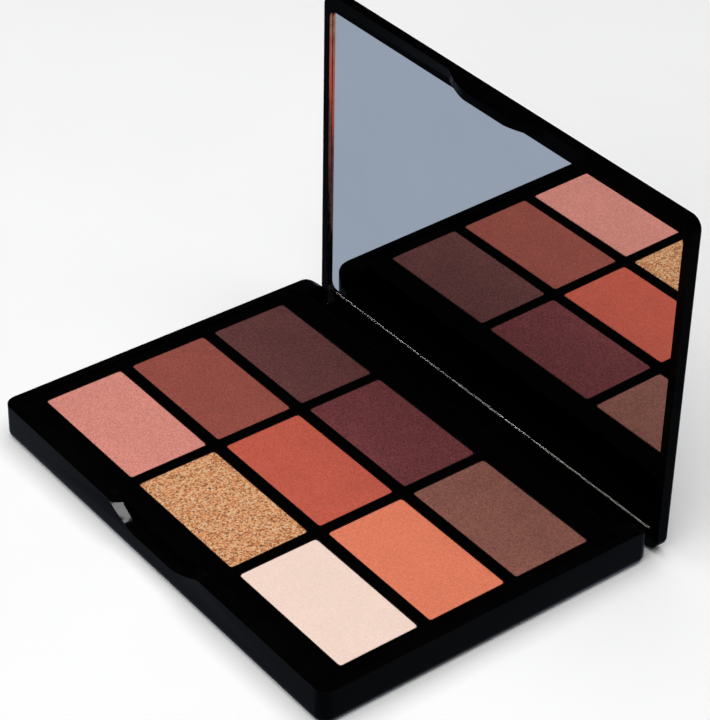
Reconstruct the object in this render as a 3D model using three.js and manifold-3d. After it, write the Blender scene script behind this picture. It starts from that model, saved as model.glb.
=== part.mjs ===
// Nine-pan eyeshadow palette with a hinged mirror lid, in millimetres, +Z up.
// Origin: centre of the base's flat underside. +X runs along the hinge and +Y points to the hinge side.
// The lid is modelled closed, in a group whose origin is the hinge axis, and the group is then turned open.

import * as THREE from 'three';
import { mergeVertices } from 'three/addons/utils/BufferGeometryUtils.js';
import Module from 'manifold-3d';

const wasm = await Module();
wasm.setup();

// ---- driving dimensions ----------------------------------------------------------------------------

// outline shared by the base and the lid
const WIDTH = 120;
const DEPTH = 85;
const CORNER = 3.1;
const FRONT = -DEPTH / 2;
const REAR = DEPTH / 2;

// base shell
const BASE_HEIGHT = 9.0;
const BASE_EDGE = 1.8;
const FLOOR = 1.4;
const SIDE_WALL = 2.0;
const FRONT_WALL = 3.8;
const REAR_WALL = 4.2;
const CAVITY_CORNER = 1.2;
const RIB_THICKNESS = 1.2;

// thumb notch in the front wall, and the catch ridge on its back face;
// a foot of 1 makes the ramps at its ends straight, and a larger one rounds them off
const NOTCH_HALF_WIDTH = 16.8;
const NOTCH_FLAT_HALF = 7;
const NOTCH_DROP = 3.7;
const NOTCH_RECESS = 2.8;
const DIP_FOOT = 1.4;
const CATCH_HALF_LENGTH = 4;
const CATCH_RADIUS = 0.25;
const CATCH_DROP = 0.75;

// pan deck: a moulded insert with nine wells
const DECK_TOP = BASE_HEIGHT - 0.45;
const DECK_PLATE = 1.15;
const DECK_SKIRT = 1.0;
const DECK_GAP = 0.15;
const WELL_FLOOR = DECK_TOP - 3.45;
const WELL_FLOOR_THICKNESS = 1.0;
const RIB_GAP = 0.1;
const WELL_GAP = 0.25;
const PUSH_HOLE_RADIUS = 2.0;
const PUSH_HOLE_OFFSET = 11;

// pans and powders
const COLUMNS = ['left', 'centre', 'right'];
const ROWS = ['front', 'middle', 'rear'];
const PITCH_X = 37.4;
const PITCH_Y = 23.2;
const GRID_Y = -0.9;
const PAN_WIDTH = 35.2;
const PAN_DEPTH = 20.8;
const PAN_CORNER = 0.9;
const PAN_SHEET = 0.35;
const PAN_BOTTOM = WELL_FLOOR + 0.35;
const PAN_TOP = DECK_TOP + 0.1;
const CAKE_GAP = 0.05;
const CAKE_TOP = PAN_TOP + 0.07;
const CAKE_EDGE = 0.25;
const GLUE_RADIUS = 4;
const GLUE_BOTTOM = WELL_FLOOR + 0.02;
const GLUE_TOP = PAN_BOTTOM - 0.07;

// hinge: the lid's full-width leaf turns in a slot in the base's rear wall, on a pin at each end;
// the ears that hold the pins reach behind the base, rounded so that the lid's rim swings past them
const AXIS_Y = REAR - 1.3;
const AXIS_Z = 2.15;
const OPEN_ANGLE = THREE.MathUtils.degToRad(89.24);
const LEAF_HALF = 54.5;
const LEAF_RADIUS = 1.3;
const LEAF_END_GAP = 0.4;
const EAR_REACH = 3.7;
const EAR_STEPS = 48;
const SWING_GAP = 0.15;
const SLOT_WEB = 1.0;
const STOP_GAP = 0.15;
const PIN_RADIUS = 0.75;
const PIN_BORE = 0.85;
const PIN_IN_LEAF = 6;
const PIN_IN_EAR = 2.6;
const PIN_END_GAP = 0.3;

// lid
const CLOSED_GAP = 0.2;
const LID_THICKNESS = 3.3;
const LID_EDGE = 0.9;
const LID_BACK = 0.9;
const FRAME_SIDE = 2.1;
const FRAME_FRONT = 3.9;
const FRAME_HINGE = 4.2;
const OPENING_CORNER = 2.0;
const LIP_HALF_WIDTH = 15.8;
const LIP_FLAT_HALF = 6.5;
const LIP_DROP = 3.5;
const LIP_THICKNESS = 2.1;
const BEAD_DROP = 1.35;

// mirror and its tape
const MIRROR_SETBACK = 0.85;
const MIRROR_THICKNESS = 1.0;
const MIRROR_GAP = 0.15;
const TAPE_THICKNESS = 0.3;
const TAPE_GAP = 0.1;
const TAPE_INSET = 3;

// underside label in its shallow recess
const LABEL_WIDTH = 70;
const LABEL_DEPTH = 26;
const LABEL_Y = 22;
const LABEL_RECESS = 0.35;
const LABEL_BOTTOM = 0.1;
const LABEL_TOP = 0.25;
const LABEL_GAP = 0.5;

// smoothness of round stretches, and how far a cutter runs past the face that it cuts
const OUTLINE_STEPS = 5;
const EDGE_STEPS = 5;
const CORNER_STEPS = 2;
const ROUND_STEPS = 24;
const DISC_STEPS = 16;
const DIP_STEPS = 8;
const PAST = 1;

// ---- solids ----------------------------------------------------------------------------------------

function toSolid(geometry) {
  const bare = geometry.clone();
  bare.deleteAttribute('normal');
  bare.deleteAttribute('uv');
  const merged = mergeVertices(bare, 1e-5);
  return new wasm.Manifold(new wasm.Mesh({
    numProp: 3,
    vertProperties: new Float32Array(merged.attributes.position.array),
    triVerts: new Uint32Array(merged.index.array),
  }));
}

function toGeometry(solid) {
  const mesh = solid.getMesh();
  const geometry = new THREE.BufferGeometry();
  geometry.setAttribute('position', new THREE.BufferAttribute(new Float32Array(mesh.vertProperties), 3));
  geometry.setIndex(new THREE.BufferAttribute(new Uint32Array(mesh.triVerts), 1));
  geometry.computeVertexNormals();
  return geometry;
}

function boxBetween(low, high) {
  const size = high.map((value, axis) => value - low[axis]);
  const middle = high.map((value, axis) => (value + low[axis]) / 2);
  return toSolid(new THREE.BoxGeometry(...size).translate(...middle));
}

function rodAlongX(radius, x0, x1, y, z, steps = ROUND_STEPS) {
  const rod = new THREE.CylinderGeometry(radius, radius, x1 - x0, steps);
  return toSolid(rod.rotateZ(Math.PI / 2).translate((x0 + x1) / 2, y, z));
}

function roundedRect(width, depth, radius, centreX = 0, centreY = 0) {
  const x = width / 2 - radius;
  const y = depth / 2 - radius;
  const shape = new THREE.Shape();
  shape.absarc(centreX + x, centreY - y, radius, -Math.PI / 2, 0);
  shape.absarc(centreX + x, centreY + y, radius, 0, Math.PI / 2);
  shape.absarc(centreX - x, centreY + y, radius, Math.PI / 2, Math.PI);
  shape.absarc(centreX - x, centreY - y, radius, Math.PI, 1.5 * Math.PI);
  return shape;
}

function slab(shape, z0, z1) {
  const options = { depth: z1 - z0, bevelEnabled: false, curveSegments: CORNER_STEPS };
  return toSolid(new THREE.ExtrudeGeometry(shape, options).translate(0, 0, z0));
}

function disc(radius, x, y, z0, z1) {
  const cylinder = new THREE.CylinderGeometry(radius, radius, z1 - z0, DISC_STEPS);
  return toSolid(cylinder.rotateX(Math.PI / 2).translate(x, y, (z0 + z1) / 2));
}

// A rounded rectangle whose bottom and top edges are both rounded over.
function softSlab(width, depth, corner, edge, centreY, z0, z1, edgeSteps, cornerSteps) {
  const inner = roundedRect(width - 2 * edge, depth - 2 * edge, corner - edge, 0, centreY);
  const options = {
    depth: z1 - z0 - 2 * edge,
    bevelThickness: edge,
    bevelSize: edge,
    bevelSegments: edgeSteps,
    curveSegments: cornerSteps,
  };
  return toSolid(new THREE.ExtrudeGeometry(inner, options).translate(0, 0, z0 + edge));
}

// A dip below a straight edge, seen from the front and extruded from y0 to y1.
// It is flat over its middle and rises to the edge at both ends by ramps that are rounded at the foot.
function dip(halfWidth, flatHalf, drop, edgeZ, topZ, y0, y1) {
  const ramp = halfWidth - flatHalf;
  const shape = new THREE.Shape();
  shape.moveTo(-halfWidth, topZ);
  for (let step = 0; step <= DIP_STEPS; step += 1) {
    const left = 1 - step / DIP_STEPS;
    shape.lineTo(-flatHalf - ramp * left, edgeZ - drop * (1 - left ** DIP_FOOT));
  }
  for (let step = 0; step <= DIP_STEPS; step += 1) {
    const climbed = step / DIP_STEPS;
    shape.lineTo(flatHalf + ramp * climbed, edgeZ - drop * (1 - climbed ** DIP_FOOT));
  }
  shape.lineTo(halfWidth, topZ);
  const geometry = new THREE.ExtrudeGeometry(shape, { depth: y1 - y0, bevelEnabled: false });
  return toSolid(geometry.rotateX(Math.PI / 2).translate(0, y1, 0));
}

// ---- base ------------------------------------------------------------------------------------------

const cavity = {
  width: WIDTH - 2 * SIDE_WALL,
  front: FRONT + FRONT_WALL,
  rear: REAR - REAR_WALL,
};
cavity.depth = cavity.rear - cavity.front;
cavity.centreY = (cavity.rear + cavity.front) / 2;

const endSides = [-1, 1];
const lidRim = BASE_HEIGHT + CLOSED_GAP - AXIS_Z;

function rodAcross(radius, side, inner, outer, y, z) {
  const ends = [side * inner, side * outer].sort((a, b) => a - b);
  return rodAlongX(radius, ends[0], ends[1], y, z);
}

function makeBaseShell() {
  const topCut = BASE_HEIGHT + 2 * BASE_EDGE;
  let shell = softSlab(WIDTH, DEPTH, CORNER, BASE_EDGE, 0, 0, topCut, EDGE_STEPS, OUTLINE_STEPS);
  shell = shell.subtract(boxBetween([-WIDTH, -DEPTH, BASE_HEIGHT], [WIDTH, DEPTH, 2 * BASE_HEIGHT]));
  const cavityShape = roundedRect(cavity.width, cavity.depth, CAVITY_CORNER, 0, cavity.centreY);
  shell = shell.subtract(slab(cavityShape, FLOOR, BASE_HEIGHT + PAST));

  // ribs that carry the pan deck, under the bars between its wells
  const ribReach = { x: 54, y: 34 };
  const half = RIB_THICKNESS / 2;
  const ribTop = WELL_FLOOR - WELL_FLOOR_THICKNESS - RIB_GAP;
  for (const side of [-0.5, 0.5]) {
    const ribX = side * PITCH_X;
    const ribY = GRID_Y + side * PITCH_Y;
    shell = shell.add(boxBetween([ribX - half, -ribReach.y, FLOOR / 2], [ribX + half, ribReach.y, ribTop]));
    shell = shell.add(boxBetween([-ribReach.x, ribY - half, FLOOR / 2], [ribReach.x, ribY + half, ribTop]));
  }

  // thumb notch with its catch ridge
  const notchBack = FRONT + NOTCH_RECESS;
  const notch = dip(
    NOTCH_HALF_WIDTH, NOTCH_FLAT_HALF, NOTCH_DROP,
    BASE_HEIGHT, BASE_HEIGHT + PAST, FRONT - PAST, notchBack,
  );
  const ridge = rodAlongX(
    CATCH_RADIUS, -CATCH_HALF_LENGTH, CATCH_HALF_LENGTH, notchBack, BASE_HEIGHT - CATCH_DROP,
  );
  shell = shell.subtract(notch).add(ridge);

  // rounded ears that carry the base's side walls on past its rear face
  const longer = DEPTH + EAR_REACH;
  const swing = rodAlongX(lidRim - SWING_GAP, -WIDTH, WIDTH, AXIS_Y, AXIS_Z, EAR_STEPS);
  const ears = softSlab(WIDTH, longer, CORNER, BASE_EDGE, EAR_REACH / 2, 0, topCut, EDGE_STEPS, OUTLINE_STEPS)
    .intersect(boxBetween([-WIDTH, REAR - CORNER, 0], [WIDTH, REAR + EAR_REACH, BASE_HEIGHT]))
    .intersect(swing.add(boxBetween([-WIDTH, 0, 0], [WIDTH, AXIS_Y, BASE_HEIGHT])));
  shell = shell.add(ears);

  // slot that the lid's leaf swings in, between the ears with their blind pin sockets
  const slotHalf = LEAF_HALF + LEAF_END_GAP;
  shell = shell.subtract(boxBetween(
    [-slotHalf, REAR - REAR_WALL + SLOT_WEB, AXIS_Z - LEAF_RADIUS - STOP_GAP],
    [slotHalf, REAR + EAR_REACH + PAST, BASE_HEIGHT + PAST],
  ));
  for (const side of endSides) {
    const socketEnd = LEAF_HALF + PIN_IN_EAR + PIN_END_GAP;
    shell = shell.subtract(rodAcross(PIN_BORE, side, LEAF_HALF, socketEnd, AXIS_Y, AXIS_Z));
  }

  const recess = roundedRect(LABEL_WIDTH + LABEL_GAP, LABEL_DEPTH + LABEL_GAP, 1.5, 0, LABEL_Y);
  return shell.subtract(slab(recess, -PAST, LABEL_RECESS));
}

function panCentres() {
  const centres = [];
  ROWS.forEach((row, rowIndex) => {
    COLUMNS.forEach((column, columnIndex) => {
      centres.push({
        name: `${row}_${column}`,
        x: (columnIndex - 1) * PITCH_X,
        y: GRID_Y + (rowIndex - 1) * PITCH_Y,
      });
    });
  });
  return centres;
}

function makePanDeck() {
  const width = cavity.width - 2 * DECK_GAP;
  const depth = cavity.depth - 2 * DECK_GAP;
  const skirtBottom = FLOOR + DECK_GAP;
  const outline = roundedRect(width, depth, CAVITY_CORNER, 0, cavity.centreY);
  const inside = roundedRect(
    width - 2 * DECK_SKIRT, depth - 2 * DECK_SKIRT, CAVITY_CORNER / 2, 0, cavity.centreY,
  );
  let deck = slab(outline, skirtBottom, DECK_TOP);
  deck = deck.subtract(slab(inside, skirtBottom - PAST, DECK_TOP - DECK_PLATE));

  // the block that the nine wells are sunk into
  const gridWidth = 2 * PITCH_X + PAN_WIDTH + 2 * WELL_GAP + 2 * DECK_SKIRT;
  const gridDepth = 2 * PITCH_Y + PAN_DEPTH + 2 * WELL_GAP + 2 * DECK_SKIRT;
  const grid = roundedRect(gridWidth, gridDepth, PAN_CORNER + DECK_SKIRT, 0, GRID_Y);
  deck = deck.add(slab(grid, WELL_FLOOR - WELL_FLOOR_THICKNESS, DECK_TOP));

  for (const { x, y } of panCentres()) {
    const well = roundedRect(
      PAN_WIDTH + 2 * WELL_GAP, PAN_DEPTH + 2 * WELL_GAP, PAN_CORNER + WELL_GAP, x, y,
    );
    deck = deck.subtract(slab(well, WELL_FLOOR, DECK_TOP + PAST));
    deck = deck.subtract(disc(PUSH_HOLE_RADIUS, x + PUSH_HOLE_OFFSET, y, FLOOR, WELL_FLOOR + PAST));
  }
  return deck;
}

function makePan(x, y) {
  const inner = PAN_SHEET * 2;
  const outside = slab(roundedRect(PAN_WIDTH, PAN_DEPTH, PAN_CORNER, x, y), PAN_BOTTOM, PAN_TOP);
  const insideShape = roundedRect(PAN_WIDTH - inner, PAN_DEPTH - inner, PAN_CORNER - PAN_SHEET, x, y);
  return outside.subtract(slab(insideShape, PAN_BOTTOM + PAN_SHEET, PAN_TOP + PAST));
}

function makePowder(x, y) {
  const inset = 2 * (PAN_SHEET + CAKE_GAP);
  const width = PAN_WIDTH - inset;
  const depth = PAN_DEPTH - inset;
  const corner = PAN_CORNER - PAN_SHEET - CAKE_GAP;
  const bottom = PAN_BOTTOM + PAN_SHEET + CAKE_GAP;
  const cake = softSlab(width, depth, corner, CAKE_EDGE, 0, bottom, CAKE_TOP, 1, CORNER_STEPS);
  return cake.translate([x, y, 0]);
}

function makeLabel() {
  return slab(roundedRect(LABEL_WIDTH, LABEL_DEPTH, 1.3, 0, LABEL_Y), LABEL_BOTTOM, LABEL_TOP);
}

// ---- lid, closed, measured from the hinge axis ------------------------------------------------------

const lidFront = FRONT - AXIS_Y;
const lidCentreY = -AXIS_Y;
const opening = {
  width: WIDTH - 2 * FRAME_SIDE,
  depth: DEPTH - FRAME_FRONT - FRAME_HINGE,
  centreY: lidCentreY + (FRAME_FRONT - FRAME_HINGE) / 2,
};
const mirrorFace = lidRim + MIRROR_SETBACK;
const mirrorBack = mirrorFace + MIRROR_THICKNESS;

function makeLidShell() {
  let shell = softSlab(
    WIDTH, DEPTH, CORNER, LID_EDGE, lidCentreY, lidRim - 2 * LID_EDGE, lidRim + LID_THICKNESS,
    EDGE_STEPS, OUTLINE_STEPS,
  );
  shell = shell.subtract(boxBetween([-WIDTH, -2 * DEPTH, lidRim - 3 * LID_EDGE], [WIDTH, DEPTH, lidRim]));
  const recess = roundedRect(opening.width, opening.depth, OPENING_CORNER, 0, opening.centreY);
  shell = shell.subtract(slab(recess, lidRim - PAST, lidRim + LID_THICKNESS - LID_BACK));

  // thumb lip with its snap bead
  const lipInner = lidFront + LIP_THICKNESS;
  const overlap = LID_EDGE / 2;
  const lip = dip(LIP_HALF_WIDTH, LIP_FLAT_HALF, LIP_DROP, lidRim, lidRim + overlap, lidFront, lipInner);
  const bead = rodAlongX(
    CATCH_RADIUS, -CATCH_HALF_LENGTH, CATCH_HALF_LENGTH, lipInner, lidRim - BEAD_DROP,
  );
  shell = shell.add(lip).add(bead);

  // hinge leaf down to the axis, with a round edge and a pin socket in each end
  shell = shell.add(boxBetween(
    [-LEAF_HALF, -LEAF_RADIUS, 0],
    [LEAF_HALF, REAR - AXIS_Y, lidRim + overlap],
  ));
  shell = shell.add(rodAlongX(LEAF_RADIUS, -LEAF_HALF, LEAF_HALF, 0, 0));
  for (const side of endSides) {
    const socketEnd = LEAF_HALF - PIN_IN_LEAF - PIN_END_GAP;
    shell = shell.subtract(rodAcross(PIN_BORE, side, socketEnd, LEAF_HALF + PAST, 0, 0));
  }
  return shell;
}

function makeHingePin(side) {
  return rodAcross(PIN_RADIUS, side, LEAF_HALF - PIN_IN_LEAF, LEAF_HALF + PIN_IN_EAR, 0, 0);
}

function makeMirror() {
  const shape = roundedRect(
    opening.width - 2 * MIRROR_GAP, opening.depth - 2 * MIRROR_GAP,
    OPENING_CORNER - MIRROR_GAP, 0, opening.centreY,
  );
  return slab(shape, mirrorFace, mirrorBack);
}

function makeMirrorTape() {
  const shape = roundedRect(
    opening.width - 2 * TAPE_INSET, opening.depth - 2 * TAPE_INSET, OPENING_CORNER, 0, opening.centreY,
  );
  return slab(shape, mirrorBack + TAPE_GAP, mirrorBack + TAPE_GAP + TAPE_THICKNESS);
}

// ---- materials and assembly ------------------------------------------------------------------------

const FINISHES = {
  shell: { color: 0x101114, roughness: 0.18, metalness: 0 },
  deck: { color: 0x0c0c0e, roughness: 0.3, metalness: 0 },
  pan: { color: 0xb9b6b2, roughness: 0.35, metalness: 1 },
  glue: { color: 0xd8cfa8, roughness: 0.6, metalness: 0 },
  pin: { color: 0x9a9c9e, roughness: 0.3, metalness: 1 },
  label: { color: 0xe4e2dc, roughness: 0.7, metalness: 0 },
  mirror: { color: 0xdfe4e6, roughness: 0.02, metalness: 1 },
  tape: { color: 0xe8e6df, roughness: 0.8, metalness: 0 },
};

const POWDER_COLOURS = {
  front_left: 0xc68175,
  front_centre: 0xc08a64,
  front_right: 0xe9d0c2,
  middle_left: 0x86473f,
  middle_centre: 0xb45849,
  middle_right: 0xcf7559,
  rear_left: 0x593737,
  rear_centre: 0x613537,
  rear_right: 0x7a5045,
};

function namedMesh(name, solid, finish) {
  const mesh = new THREE.Mesh(toGeometry(solid), new THREE.MeshStandardMaterial(finish));
  mesh.name = name;
  return mesh;
}

const palette = new THREE.Group();

palette.add(namedMesh('base_shell', makeBaseShell(), FINISHES.shell));
palette.add(namedMesh('pan_deck', makePanDeck(), FINISHES.deck));
for (const { name, x, y } of panCentres()) {
  const powderFinish = { color: POWDER_COLOURS[name], roughness: 0.8, metalness: 0 };
  palette.add(namedMesh(`pan_${name}`, makePan(x, y), FINISHES.pan));
  palette.add(namedMesh(`powder_${name}`, makePowder(x, y), powderFinish));
  const gluePad = disc(GLUE_RADIUS, x, y, GLUE_BOTTOM, GLUE_TOP);
  palette.add(namedMesh(`glue_pad_${name}`, gluePad, FINISHES.glue));
}
palette.add(namedMesh('underside_label', makeLabel(), FINISHES.label));

const lid = new THREE.Group();
lid.add(namedMesh('lid_shell', makeLidShell(), FINISHES.shell));
lid.add(namedMesh('hinge_pin_left', makeHingePin(-1), FINISHES.pin));
lid.add(namedMesh('hinge_pin_right', makeHingePin(1), FINISHES.pin));
lid.add(namedMesh('mirror', makeMirror(), FINISHES.mirror));
lid.add(namedMesh('mirror_tape', makeMirrorTape(), FINISHES.tape));
lid.position.set(0, AXIS_Y, AXIS_Z);
lid.rotation.x = -OPEN_ANGLE;
palette.add(lid);

export default palette;
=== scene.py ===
"""Looks of the eyeshadow palette: refined mouldings, pressed powders, mirror, studio light and camera."""
import math

import bmesh
import bpy
from mathutils import Matrix, Vector, noise


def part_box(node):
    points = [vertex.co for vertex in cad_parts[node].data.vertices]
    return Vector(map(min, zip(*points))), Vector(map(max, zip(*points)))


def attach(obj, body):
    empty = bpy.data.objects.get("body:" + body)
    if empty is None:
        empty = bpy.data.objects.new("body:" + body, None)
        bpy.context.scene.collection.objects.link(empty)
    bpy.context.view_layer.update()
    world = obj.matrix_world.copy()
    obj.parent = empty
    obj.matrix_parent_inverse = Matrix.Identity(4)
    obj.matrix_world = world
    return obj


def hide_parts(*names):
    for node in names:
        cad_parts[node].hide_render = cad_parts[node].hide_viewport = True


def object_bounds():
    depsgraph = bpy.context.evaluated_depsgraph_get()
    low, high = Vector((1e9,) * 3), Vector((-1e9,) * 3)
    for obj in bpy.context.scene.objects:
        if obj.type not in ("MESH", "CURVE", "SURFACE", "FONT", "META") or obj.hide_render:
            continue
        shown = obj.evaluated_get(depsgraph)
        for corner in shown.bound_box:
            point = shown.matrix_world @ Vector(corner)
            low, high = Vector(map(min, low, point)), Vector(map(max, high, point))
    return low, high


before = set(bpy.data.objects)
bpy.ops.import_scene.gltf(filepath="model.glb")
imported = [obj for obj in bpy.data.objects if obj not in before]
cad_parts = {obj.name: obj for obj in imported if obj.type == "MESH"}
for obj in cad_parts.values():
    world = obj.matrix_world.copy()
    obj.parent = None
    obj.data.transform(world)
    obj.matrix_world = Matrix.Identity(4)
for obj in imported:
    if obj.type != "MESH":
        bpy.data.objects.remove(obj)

cad_low, cad_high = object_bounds()

MM = 0.001
BASE, LID = "base", "lid"
ROWS = ("front", "middle", "rear")
COLUMNS = ("left", "centre", "right")
PLACES = [f"{row}_{column}" for row in ROWS for column in COLUMNS]


# ---- node helpers --------------------------------------------------------------------------------

def linear(r, g, b):
    """An sRGB colour of 0 to 255 as linear light."""
    def one(value):
        value /= 255
        return value / 12.92 if value <= 0.04045 else ((value + 0.055) / 1.055) ** 2.4
    return one(r), one(g), one(b), 1.0


def set_stops(ramp_node, stops):
    elements = ramp_node.color_ramp.elements
    while len(elements) < len(stops):
        elements.new(0.5)
    for element, (at, colour) in zip(elements, stops):
        element.position = at
        element.color = colour if len(colour) == 4 else (*colour, 1.0)


class Shader:
    """A material's node tree, with the few kinds of node that this script uses."""

    def __init__(self, name):
        self.material = bpy.data.materials.new(name)
        self.material.use_nodes = True
        self.nodes = self.material.node_tree.nodes
        self.links = self.material.node_tree.links
        self.bsdf = self.nodes["Principled BSDF"]
        self.place = self.nodes.new("ShaderNodeTexCoord").outputs["Object"]

    def set(self, **values):
        for name, value in values.items():
            self.bsdf.inputs[name.replace("_", " ")].default_value = value
        return self

    def link(self, output, socket):
        self.links.new(output, self.bsdf.inputs[socket])

    def noise(self, size_mm, detail=3.0, roughness=0.55, stretch=None):
        """Noise whose features are about size_mm across, from 0 to 1."""
        texture = self.nodes.new("ShaderNodeTexNoise")
        texture.inputs["Scale"].default_value = 1 / (size_mm * MM)
        texture.inputs["Detail"].default_value = detail
        texture.inputs["Roughness"].default_value = roughness
        place = self.place
        if stretch:
            mapping = self.nodes.new("ShaderNodeMapping")
            mapping.inputs["Scale"].default_value = stretch
            self.links.new(place, mapping.inputs["Vector"])
            place = mapping.outputs["Vector"]
        self.links.new(place, texture.inputs["Vector"])
        return texture.outputs["Fac"]

    def cells(self, size_mm):
        """Small cells, each with a random colour."""
        texture = self.nodes.new("ShaderNodeTexVoronoi")
        texture.inputs["Scale"].default_value = 1 / (size_mm * MM)
        self.links.new(self.place, texture.inputs["Vector"])
        return texture.outputs["Color"]

    def ramp(self, source, stops):
        node = self.nodes.new("ShaderNodeValToRGB")
        set_stops(node, stops)
        self.links.new(source, node.inputs["Fac"])
        return node.outputs["Color"]

    def span(self, source, low, high, start=0.3, end=0.7):
        """The source, mapped from start..end to low..high."""
        node = self.nodes.new("ShaderNodeMapRange")
        node.inputs["From Min"].default_value = start
        node.inputs["From Max"].default_value = end
        node.inputs["To Min"].default_value = low
        node.inputs["To Max"].default_value = high
        self.links.new(source, node.inputs["Value"])
        return node.outputs["Result"]

    def add(self, a, b):
        node = self.nodes.new("ShaderNodeMath")
        node.operation = "ADD"
        self.links.new(a, node.inputs[0])
        self.links.new(b, node.inputs[1])
        return node.outputs["Value"]

    def mix(self, factor, a, b):
        node = self.nodes.new("ShaderNodeMix")
        node.data_type = "RGBA"
        for socket, value in zip((node.inputs[0], node.inputs[6], node.inputs[7]), (factor, a, b)):
            if isinstance(value, (int, float, tuple)):
                socket.default_value = value
            else:
                self.links.new(value, socket)
        return node.outputs[2]

    def bump(self, height, depth_mm, under=None):
        node = self.nodes.new("ShaderNodeBump")
        node.inputs["Distance"].default_value = depth_mm * MM
        node.inputs["Strength"].default_value = 1.0
        self.links.new(height, node.inputs["Height"])
        if under:
            self.links.new(under, node.inputs["Normal"])
        return node.outputs["Normal"]


# ---- materials -----------------------------------------------------------------------------------

def gloss_black(name, tone, polish, wear, shine):
    """Polished injection-moulded plastic: faint orange peel, handling haze and hairline scratches."""
    shader = Shader(name)
    haze = shader.noise(9, detail=4)
    scratches = shader.noise(0.35, detail=2, stretch=(1.0, 0.04, 1.0))
    worn = [channel + 2 for channel in tone]
    colour = shader.mix(shader.span(haze, 0, 1), linear(*tone), linear(*worn))
    shader.link(colour, "Base Color")
    haze_rough = shader.span(haze, polish, polish + wear)
    scratch_rough = shader.span(scratches, 0, wear, 0.6, 0.8)
    shader.link(shader.add(haze_rough, scratch_rough), "Roughness")
    peel = shader.bump(shader.noise(1.6, detail=2), 0.004)
    shader.link(shader.bump(scratches, 0.0012, under=peel), "Normal")
    return shader.set(IOR=1.46, Specular_IOR_Level=shine).material


def pan_metal():
    """Thin pressed tinplate with fine drawing lines."""
    shader = Shader("pan_metal_look")
    lines = shader.noise(0.25, detail=3, stretch=(0.06, 1.0, 1.0))
    colour = shader.mix(shader.span(lines, 0, 1), linear(96, 84, 80), linear(150, 136, 130))
    shader.link(colour, "Base Color")
    shader.link(shader.span(lines, 0.32, 0.5), "Roughness")
    shader.link(shader.bump(lines, 0.004), "Normal")
    return shader.set(Metallic=1.0).material


def powder(place, tone, shimmer, grain, glitter=False):
    """Pressed powder: fine grain, soft mottling where the pigment packs unevenly, and a little pearl.

    The shimmer is the weight of the pearl. The grain is how far the fine noise lifts or darkens
    the tone.
    """
    shader = Shader(f"powder_{place}_look")
    mottle = shader.noise(9, detail=3, roughness=0.5)
    fine = shader.noise(0.42, detail=3, roughness=0.7)
    light = [min(channel * (1 + 0.06 * grain), 255) for channel in tone]
    dark = [channel * (1 - 0.09 * grain) for channel in tone]
    colour = shader.mix(shader.span(mottle, 0, 1), linear(*dark), linear(*light))
    shaded = shader.nodes.new("ShaderNodeHueSaturation")
    shader.links.new(colour, shaded.inputs["Color"])
    shader.links.new(shader.span(fine, 1 - grain, 1 + 0.9 * grain), shaded.inputs["Value"])
    colour = shaded.outputs["Color"]
    normal = shader.bump(fine, 0.045)
    if glitter:
        grey = shader.nodes.new("ShaderNodeRGBToBW")
        shader.links.new(shader.cells(FLAKE_SIZE), grey.inputs["Color"])
        flake = grey.outputs["Val"]
        # flake colours: the flakes' own gold tone, with painted glints in the brightest cells
        colour = shader.mix(FLAKE_COVER, colour, shader.ramp(flake, FLAKE_TONE_AND_GLINT_STOPS))
        shader.link(shader.span(flake, 0.1, 0.3, 0.2, 0.9), "Metallic")
        normal = shader.bump(flake, 0.06, under=normal)
        shader.link(shader.span(flake, 0.5, 0.28, 0.2, 0.9), "Roughness")
    else:
        shader.link(shader.span(fine, 0.5, 0.72), "Roughness")
    shader.link(colour, "Base Color")
    shader.link(normal, "Normal")
    shader.set(Sheen_Weight=shimmer, Sheen_Roughness=0.45, Specular_IOR_Level=0.2)
    return shader.material


# glitter flakes: their size in mm, how much of the powder they cover, and their colours from dark to
# bright; the darker stops are the flakes' own gold tone, and the brightest stops are painted glints of
# flakes catching the light
FLAKE_SIZE = 0.36
FLAKE_COVER = 0.85
FLAKE_TONE_AND_GLINT_STOPS = [
    (0.12, linear(112, 66, 38)),
    (0.34, linear(192, 120, 74)),
    (0.55, linear(240, 170, 118)),
    (0.78, linear(255, 210, 156)),
    (0.92, linear(255, 236, 204)),
]

# the tone of each powder, how pearly it is and how strongly its grain shows
POWDERS = {
    "front_left": ((212, 136, 123), 0.12, 0.3),
    "front_centre": ((238, 160, 112), 0.1, 0.2),
    "front_right": ((242, 215, 200), 0.05, 0.08),
    "middle_left": ((144, 75, 65), 0.05, 0.3),
    "middle_centre": ((190, 88, 71), 0.08, 0.25),
    "middle_right": ((222, 123, 93), 0.1, 0.2),
    "rear_left": ((95, 56, 55), 0.05, 0.45),
    "rear_centre": ((107, 54, 56), 0.05, 0.5),
    "rear_right": ((133, 85, 74), 0.08, 0.45),
}


def mirror_glass():
    """Silvered glass with the faintest finger haze."""
    shader = Shader("mirror_look")
    haze = shader.noise(14, detail=5, roughness=0.6)
    shader.link(shader.span(haze, 0.0, 0.02, 0.5, 0.8), "Roughness")
    colour = shader.mix(shader.span(haze, 0, 1), linear(238, 240, 241), linear(234, 237, 238))
    shader.link(colour, "Base Color")
    return shader.set(Metallic=1.0).material


def polished_edge():
    """Bright polished edge round the mirror, a little streaky."""
    shader = Shader("mirror_edge_look")
    streaks = shader.noise(0.5, detail=3, stretch=(0.2, 0.2, 0.2))
    colour = shader.mix(shader.span(streaks, 0, 1), linear(232, 228, 220), linear(250, 247, 240))
    shader.link(colour, "Base Color")
    shader.link(shader.span(streaks, 0.1, 0.22), "Roughness")
    return shader.set(Metallic=1.0).material


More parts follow.
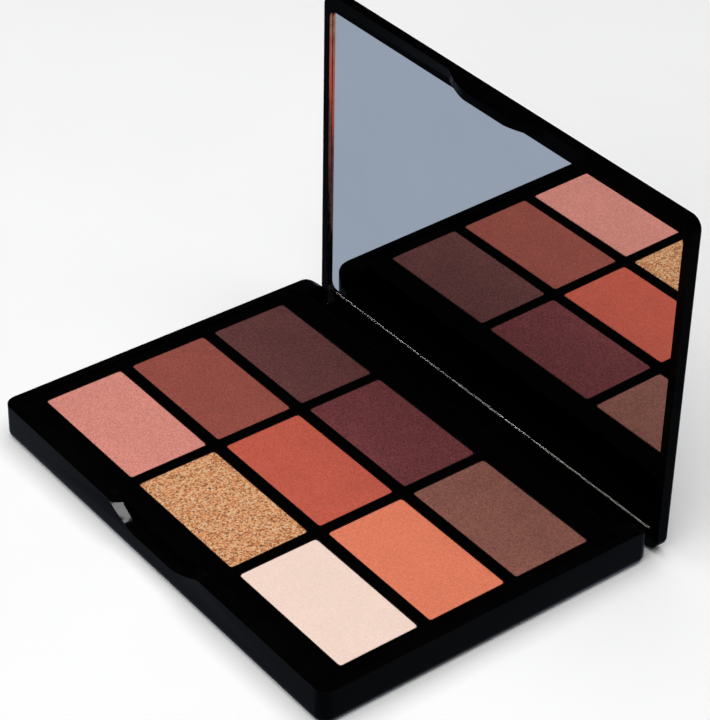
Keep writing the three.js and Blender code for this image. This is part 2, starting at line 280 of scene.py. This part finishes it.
def plain_grain(name, light, dark, size_mm, rough, metallic=0.0, depth_mm=0.01):
    """Small inner pieces: two close tones, varied roughness and a fine bump."""
    shader = Shader(name)
    grain = shader.noise(size_mm, detail=4)
    shader.link(shader.mix(shader.span(grain, 0, 1), linear(*dark), linear(*light)), "Base Color")
    shader.link(shader.span(grain, rough, rough + 0.15), "Roughness")
    shader.link(shader.bump(grain, depth_mm), "Normal")
    return shader.set(Metallic=metallic).material


# ---- meshes --------------------------------------------------------------------------------------

def dress(piece, material):
    piece.data.materials.clear()
    piece.data.materials.append(material)


def add_piece(name, mesh, body, node, material):
    piece = bpy.data.objects.new(name, mesh)
    bpy.context.collection.objects.link(piece)
    dress(piece, material)
    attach(piece, body)
    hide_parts(node)
    return piece


def refined(node, body, material, edge_mm, sharp_deg=30):
    """The node's own moulding with its flat faces joined up and every sharp edge rounded over."""
    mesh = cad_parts[node].data.copy()
    work = bmesh.new()
    work.from_mesh(mesh)
    bmesh.ops.remove_doubles(work, verts=work.verts, dist=0.002 * MM)
    bmesh.ops.dissolve_limit(work, angle_limit=math.radians(0.5), verts=work.verts, edges=work.edges)
    for face in work.faces:
        face.smooth = True
    work.to_mesh(mesh)
    work.free()
    mesh.set_sharp_from_angle(angle=math.radians(sharp_deg))
    piece = add_piece(f"{node}_moulding", mesh, body, node, material)
    bevel = piece.modifiers.new("edges", "BEVEL")
    bevel.width = edge_mm * MM
    bevel.segments = 3
    bevel.limit_method = "ANGLE"
    bevel.angle_limit = math.radians(sharp_deg)
    bevel.harden_normals = True
    bevel.use_clamp_overlap = True
    return piece


def line_opening(piece, material):
    """Gives the material to the wall round the mirror: a thin line at its foot and all of its sides."""
    piece.data.materials.append(material)
    low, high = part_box("mirror")
    middle = (low + high) / 2
    glass = max(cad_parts["mirror"].data.polygons, key=lambda face: -face.normal.y * face.area)
    reach = 0.4 * MM
    foot_line = 0.28 * MM
    work = bmesh.new()
    work.from_mesh(piece.data)

    def wall(axis, side):
        """The faces of the opening's wall on one side of the mirror."""
        return [
            face for face in work.faces
            if abs(face.calc_center_median()[axis] - side[axis]) < reach
            and abs(face.normal.y) < 0.3
            and (face.calc_center_median() - middle).dot(face.normal) < 0
        ]

    foot = wall(2, low)
    edges = {edge for face in foot for edge in face.edges}
    bmesh.ops.bisect_plane(
        work,
        geom=foot + list(edges),
        plane_co=glass.center + glass.normal * foot_line,
        plane_no=glass.normal,
    )
    for face in wall(0, low) + wall(0, high) + wall(2, low):
        in_front = (face.calc_center_median() - glass.center).dot(glass.normal)
        if abs(face.normal.x) > 0.5 or in_front < foot_line:
            face.material_index = 1
    work.to_mesh(piece.data)
    work.free()


def pressed_cake(place, material):
    """A pressed powder: a gently uneven top with a rolled edge, closed down to the pan's floor."""
    node = f"powder_{place}"
    low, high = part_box(node)
    columns, rows = 72, 44
    roll = 0.3 * MM  # width of the rolled edge
    crown = 0.06 * MM  # how far the corners sit below the middle
    corner = 0.35 * MM  # plan radius of the corners, inside the rolled edge
    seed = Vector((PLACES.index(place) * 7.3, 1.7, 0.0))
    work = bmesh.new()
    grid = []
    for j in range(rows + 1):
        line = []
        for i in range(columns + 1):
            u, v = i / columns, j / rows
            x = low.x + roll + (high.x - low.x - 2 * roll) * u
            y = low.y + roll + (high.y - low.y - 2 * roll) * v
            dome = crown * ((2 * u - 1) ** 4 + (2 * v - 1) ** 4) / 2
            lumps = noise.noise(Vector((x, y, 0)) / (2.4 * MM) + seed)
            grains = noise.noise(Vector((x, y, 0)) / (0.5 * MM) + seed)
            z = high.z - dome - (0.012 * (1 + lumps) + 0.006 * (1 + grains)) * MM
            line.append(work.verts.new((x, y, z)))
        grid.append(line)
    for j in range(rows):
        for i in range(columns):
            work.faces.new((grid[j][i], grid[j][i + 1], grid[j + 1][i + 1], grid[j + 1][i]))
    rim = (
        grid[0][:-1]
        + [line[-1] for line in grid[:-1]]
        + grid[-1][:0:-1]
        + [line[0] for line in grid[:0:-1]]
    )
    previous = rim
    for out, down in ((0.55, 0.06), (0.9, 0.3), (1.0, 0.75), (1.0, None)):
        ring = []
        for vertex in rim:
            x = min(max(vertex.co.x, low.x + roll + corner), high.x - roll - corner)
            y = min(max(vertex.co.y, low.y + roll + corner), high.y - roll - corner)
            away = Vector((vertex.co.x - x, vertex.co.y - y, 0))
            reach = corner + roll * out
            point = Vector((x, y, 0)) + away.normalized() * reach
            z = low.z if down is None else vertex.co.z - roll * down
            ring.append(work.verts.new((point.x, point.y, z)))
        for k, vertex in enumerate(ring):
            following = (k + 1) % len(ring)
            work.faces.new((previous[k], vertex, ring[following], previous[following]))
        previous = ring
    work.faces.new(previous[::-1])
    bmesh.ops.recalc_face_normals(work, faces=work.faces)
    for face in work.faces:
        face.smooth = True
    mesh = bpy.data.meshes.new(f"powder_cake_{place}")
    work.to_mesh(mesh)
    work.free()
    return add_piece(f"powder_cake_{place}", mesh, BASE, node, material)


# ---- the palette ---------------------------------------------------------------------------------

shell_look = gloss_black("shell_look", (2, 2, 2), 0.07, 0.05, 0.028)
lid_look = gloss_black("lid_look", (1, 1, 1), 0.07, 0.05, 0.015)
deck_look = gloss_black("deck_look", (1, 1, 1), 0.12, 0.06, 0.08)
pan_look = pan_metal()

base_moulding = refined("base_shell", BASE, shell_look, 0.22)
lid_moulding = refined("lid_shell", LID, lid_look, 0.22)
line_opening(lid_moulding, polished_edge())
refined("pan_deck", BASE, deck_look, 0.15)
refined("mirror", LID, mirror_glass(), 0.1)

for spot in PLACES:
    look = powder(spot, *POWDERS[spot], glitter=spot == "front_centre")
    pressed_cake(spot, look)
    refined(f"pan_{spot}", BASE, pan_look, 0.06)

INNER_LOOKS = {
    "hinge_pin_left": ("pin_look", (176, 178, 180), (140, 142, 145), 0.4, 0.22, 1.0),
    "underside_label": ("label_look", (232, 230, 224), (224, 221, 214), 1.5, 0.55, 0.0),
    "mirror_tape": ("tape_look", (236, 233, 224), (222, 219, 208), 0.6, 0.75, 0.0),
    f"glue_pad_{PLACES[0]}": ("glue_look", (222, 210, 172), (208, 196, 156), 0.8, 0.5, 0.0),
}
looks = {node: plain_grain(*values) for node, values in INNER_LOOKS.items()}
looks["hinge_pin_right"] = looks["hinge_pin_left"]
for spot in PLACES:
    looks[f"glue_pad_{spot}"] = looks[f"glue_pad_{PLACES[0]}"]
for node, material in looks.items():
    dress(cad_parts[node], material)


# ---- studio --------------------------------------------------------------------------------------

def make_floor():
    shader = Shader("floor_look")
    tone = shader.noise(60, detail=3)
    colour = shader.mix(shader.span(tone, 0, 1), linear(249, 249, 249), linear(251, 251, 251))
    shader.link(colour, "Base Color")
    shader.set(Roughness=0.9, Specular_IOR_Level=0.0)
    mesh = bpy.data.meshes.new("floor")
    half = 4.0
    corners = [(-half, -half, 0), (half, -half, 0), (half, half, 0), (-half, half, 0)]
    mesh.from_pydata(corners, [], [(0, 1, 2, 3)])
    floor = bpy.data.objects.new("floor", mesh)
    bpy.context.collection.objects.link(floor)
    dress(floor, shader.material)
    floor.location.z = cad_low.z
    floor.visible_glossy = False


def direction(azimuth, elevation):
    """A unit vector from the palette outwards. Azimuth 0 is in front and 90 to the right."""
    a, e = math.radians(azimuth), math.radians(elevation)
    return Vector((math.sin(a) * math.cos(e), -math.cos(a) * math.cos(e), math.sin(e)))


def softbox(name, azimuth, elevation, distance, width, height, power, seen=True):
    data = bpy.data.lights.new(name, "AREA")
    data.shape = "RECTANGLE"
    data.size, data.size_y = width, height
    data.energy = power
    light = bpy.data.objects.new(name, data)
    bpy.context.collection.objects.link(light)
    away = direction(azimuth, elevation)
    light.location = away * distance
    light.rotation_euler = away.to_track_quat("Z", "Y").to_euler()
    light.visible_glossy = seen
    return light


def glint(name, moulding, azimuth, elevation, distance, width, height, power):
    """A softbox that only shows as a reflection in one black moulding."""
    light = softbox(name, azimuth, elevation, distance, width, height, power)
    light.visible_diffuse = False
    receivers = bpy.data.collections.new(f"{name}_receivers")
    receivers.objects.link(moulding)
    light.light_linking.receiver_collection = receivers


def make_world():
    """Soft light for everything, a blue-grey studio below the horizon for reflections, dark above it."""
    world = bpy.data.worlds.new("studio")
    bpy.context.scene.world = world
    world.use_nodes = True
    nodes, links = world.node_tree.nodes, world.node_tree.links
    background = nodes["Background"]
    place = nodes.new("ShaderNodeTexCoord").outputs["Generated"]
    split = nodes.new("ShaderNodeSeparateXYZ")
    links.new(place, split.inputs["Vector"])
    ramp = nodes.new("ShaderNodeValToRGB")
    stops = [
        (0.0, (0.35, 0.40, 0.495)),
        (0.44, (0.345, 0.392, 0.489)),
        (0.5, (0.1, 0.12, 0.15)),
        (0.56, (0.012, 0.012, 0.014)),
    ]
    set_stops(ramp, stops)
    half = nodes.new("ShaderNodeMath")
    half.operation = "MULTIPLY_ADD"
    half.inputs[1].default_value = 0.5
    half.inputs[2].default_value = 0.5
    links.new(split.outputs["Z"], half.inputs[0])
    links.new(half.outputs["Value"], ramp.inputs["Fac"])
    links.new(ramp.outputs["Color"], background.inputs["Color"])


def make_camera():
    data = bpy.data.cameras.new("camera")
    camera = bpy.data.objects.new("camera", data)
    bpy.context.collection.objects.link(camera)
    azimuth, elevation, distance, roll = 51.1, 35.6, 0.597, 1.87
    target = Vector((-0.0257, 0.0326, 0.0096))
    away = direction(azimuth, elevation)
    turn = away.to_track_quat("Z", "Y").to_matrix() @ Matrix.Rotation(math.radians(roll), 3, "Z")
    camera.location = target + away * distance
    camera.rotation_euler = turn.to_euler()
    data.sensor_width = 36
    data.lens = 128.4
    data.shift_x = -0.0036
    data.shift_y = -0.003
    data.clip_start = 0.01
    bpy.context.scene.camera = camera


make_floor()
make_world()
softbox("overhead", 0, 88, 1.2, 1.6, 1.6, 17.8, seen=False)
softbox("front_fill", 20, 40, 1.3, 1.2, 0.8, 6.4, seen=False)
glint("notch_glint", base_moulding, 134, 79, 0.88, 0.2, 0.16, 10)
glint("left_glint", lid_moulding, -85, 50, 0.9, 0.3, 0.3, 1.5)
make_camera()
bpy.context.scene.view_settings.view_transform = "Standard"
